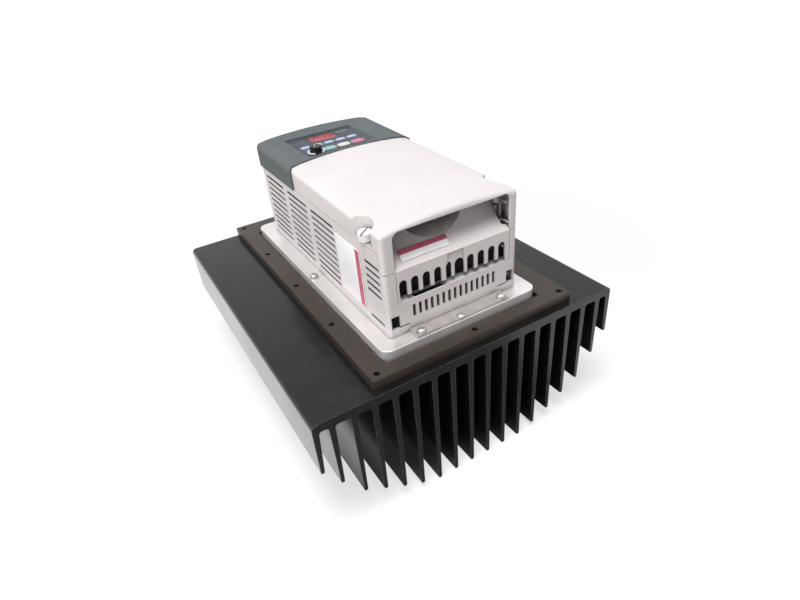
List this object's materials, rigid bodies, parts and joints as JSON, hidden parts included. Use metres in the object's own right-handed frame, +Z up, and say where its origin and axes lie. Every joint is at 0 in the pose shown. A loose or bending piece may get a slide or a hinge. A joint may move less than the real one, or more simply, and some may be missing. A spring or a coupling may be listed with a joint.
{
  "type": "variable frequency motor drive on a heat sink",
  "caption": "Compact AC motor drive with keypad and wiring guard on a base plate, framed and bolted to a large finned extruded heat sink.",
  "frame": {"origin": "under the middle of the heat sink, on the plane of its longest fin tips", "axes": "+X across the drive to its right, +Y along the fins from the wiring end to the keypad end, +Z up from the fin tips to the keypad"},
  "size_m": [0.3048, 0.345, 0.2488],
  "materials": {
    "black_anodised": "black anodised extrusion, satin",
    "brown_anodised": "dark brown anodised plate, satin",
    "bright_aluminium": "bare milled aluminium, satin",
    "satin_steel": "satin sheet metal",
    "thermal_grey": "matt grey sheet",
    "warm_white": "fine matt moulded plastic",
    "slate_grey": "matt dark grey moulded plastic",
    "panel_blue": "matt printed film",
    "display_red": "smoked red window",
    "lens_olive": "smoked lens",
    "black_plastic": "matt black plastic",
    "key_blue": "matt light blue plastic",
    "key_green": "matt green plastic",
    "key_white": "matt white plastic",
    "key_red": "matt red plastic",
    "knob_black": "matt black plastic",
    "white_plastic": "white moulded plastic",
    "board_green": "solder-masked circuit board",
    "zinc": "bright zinc plated steel",
    "label_white": "blank white label with a red edge",
    "can_blue": "shrink sleeve",
    "terminal_grey": "matt grey plastic"
  },
  "bodies": {
    "base": {"heatsink": "black_anodised", "adapter_frame": "brown_anodised", "base_plate": "bright_aluminium", "chassis": "satin_steel", "thermal_pad": "thermal_grey", "housing": "warm_white", "keypad_head": "slate_grey", "keypad_panel": "panel_blue", "display_window": "display_red", "indicator_lens": "lens_olive", "display_module": "black_plastic", "knob_scale": "white_plastic", "potentiometer": "black_plastic", "keypad_board": "board_green", "foot_pin": "zinc", "side_label": "label_white", "power_board": "board_green", "control_board": "board_green", "power_module": "black_plastic", "power_terminals": "black_plastic", "bus_capacitor_1": "can_blue", "bus_capacitor_2": "can_blue", "bus_capacitor_3": "can_blue", "control_terminals": "terminal_grey", "keypad_header": "black_plastic", "plate_screw_front_left": "zinc", "plate_washer_front_left": "zinc", "plate_screw_front_right": "zinc", "plate_washer_front_right": "zinc", "plate_screw_side_left": "zinc", "plate_washer_side_left": "zinc", "plate_screw_side_right": "zinc", "plate_washer_side_right": "zinc", "plate_screw_back_left": "zinc", "plate_washer_back_left": "zinc", "plate_screw_back_right": "zinc", "plate_washer_back_right": "zinc"},
    "key_escape": {"key_escape": "key_blue"},
    "key_select": {"key_select": "key_blue"},
    "key_up": {"key_up": "key_blue"},
    "key_down": {"key_down": "key_blue"},
    "key_enter": {"key_enter": "key_blue"},
    "key_start": {"key_start": "key_green"},
    "key_reverse": {"key_reverse": "key_white"},
    "key_stop": {"key_stop": "key_red"},
    "speed_knob": {"speed_knob": "knob_black"},
    "front_cover": {"front_cover": "warm_white"},
    "cover_screw_left": {"cover_screw_left": "white_plastic"},
    "cover_screw_right": {"cover_screw_right": "white_plastic"},
    "terminal_guard": {"terminal_guard": "warm_white", "guard_label": "label_white"}
  },
  "joints": [
    {"name": "key_escape_press", "type": "slide", "parent": "base", "child": "key_escape", "axis": [0, 0, -1], "range_m": [0, 0.0008], "stiffness_N_per_m": 800},
    {"name": "key_select_press", "type": "slide", "parent": "base", "child": "key_select", "axis": [0, 0, -1], "range_m": [0, 0.0008], "stiffness_N_per_m": 800},
    {"name": "key_up_press", "type": "slide", "parent": "base", "child": "key_up", "axis": [0, 0, -1], "range_m": [0, 0.0008], "stiffness_N_per_m": 800},
    {"name": "key_down_press", "type": "slide", "parent": "base", "child": "key_down", "axis": [0, 0, -1], "range_m": [0, 0.0008], "stiffness_N_per_m": 800},
    {"name": "key_enter_press", "type": "slide", "parent": "base", "child": "key_enter", "axis": [0, 0, -1], "range_m": [0, 0.0008], "stiffness_N_per_m": 800},
    {"name": "key_start_press", "type": "slide", "parent": "base", "child": "key_start", "axis": [0, 0, -1], "range_m": [0, 0.0008], "stiffness_N_per_m": 800},
    {"name": "key_reverse_press", "type": "slide", "parent": "base", "child": "key_reverse", "axis": [0, 0, -1], "range_m": [0, 0.0008], "stiffness_N_per_m": 800},
    {"name": "key_stop_press", "type": "slide", "parent": "base", "child": "key_stop", "axis": [0, 0, -1], "range_m": [0, 0.0008], "stiffness_N_per_m": 800},
    {"name": "speed_knob_turn", "type": "hinge", "parent": "base", "child": "speed_knob", "pos_m": [-0.0248, 0.0562, 0.2433], "axis": [0, 0, 1], "range_deg": [-150, 150]},
    {"name": "front_cover_lift", "type": "slide", "parent": "base", "child": "front_cover", "axis": [0, 0, 1], "range_m": [0, 0.04]},
    {"name": "cover_screw_left_turn", "type": "hinge", "parent": "front_cover", "child": "cover_screw_left", "pos_m": [-0.0609, -0.1096, 0.2243], "axis": [0, 0, 1], "continuous": true},
    {"name": "cover_screw_right_turn", "type": "hinge", "parent": "front_cover", "child": "cover_screw_right", "pos_m": [0.0637, -0.1096, 0.2243], "axis": [0, 0, 1], "continuous": true},
    {"name": "terminal_guard_pull", "type": "slide", "parent": "base", "child": "terminal_guard", "axis": [0, -1, 0], "range_m": [0, 0.03]}
  ]
}
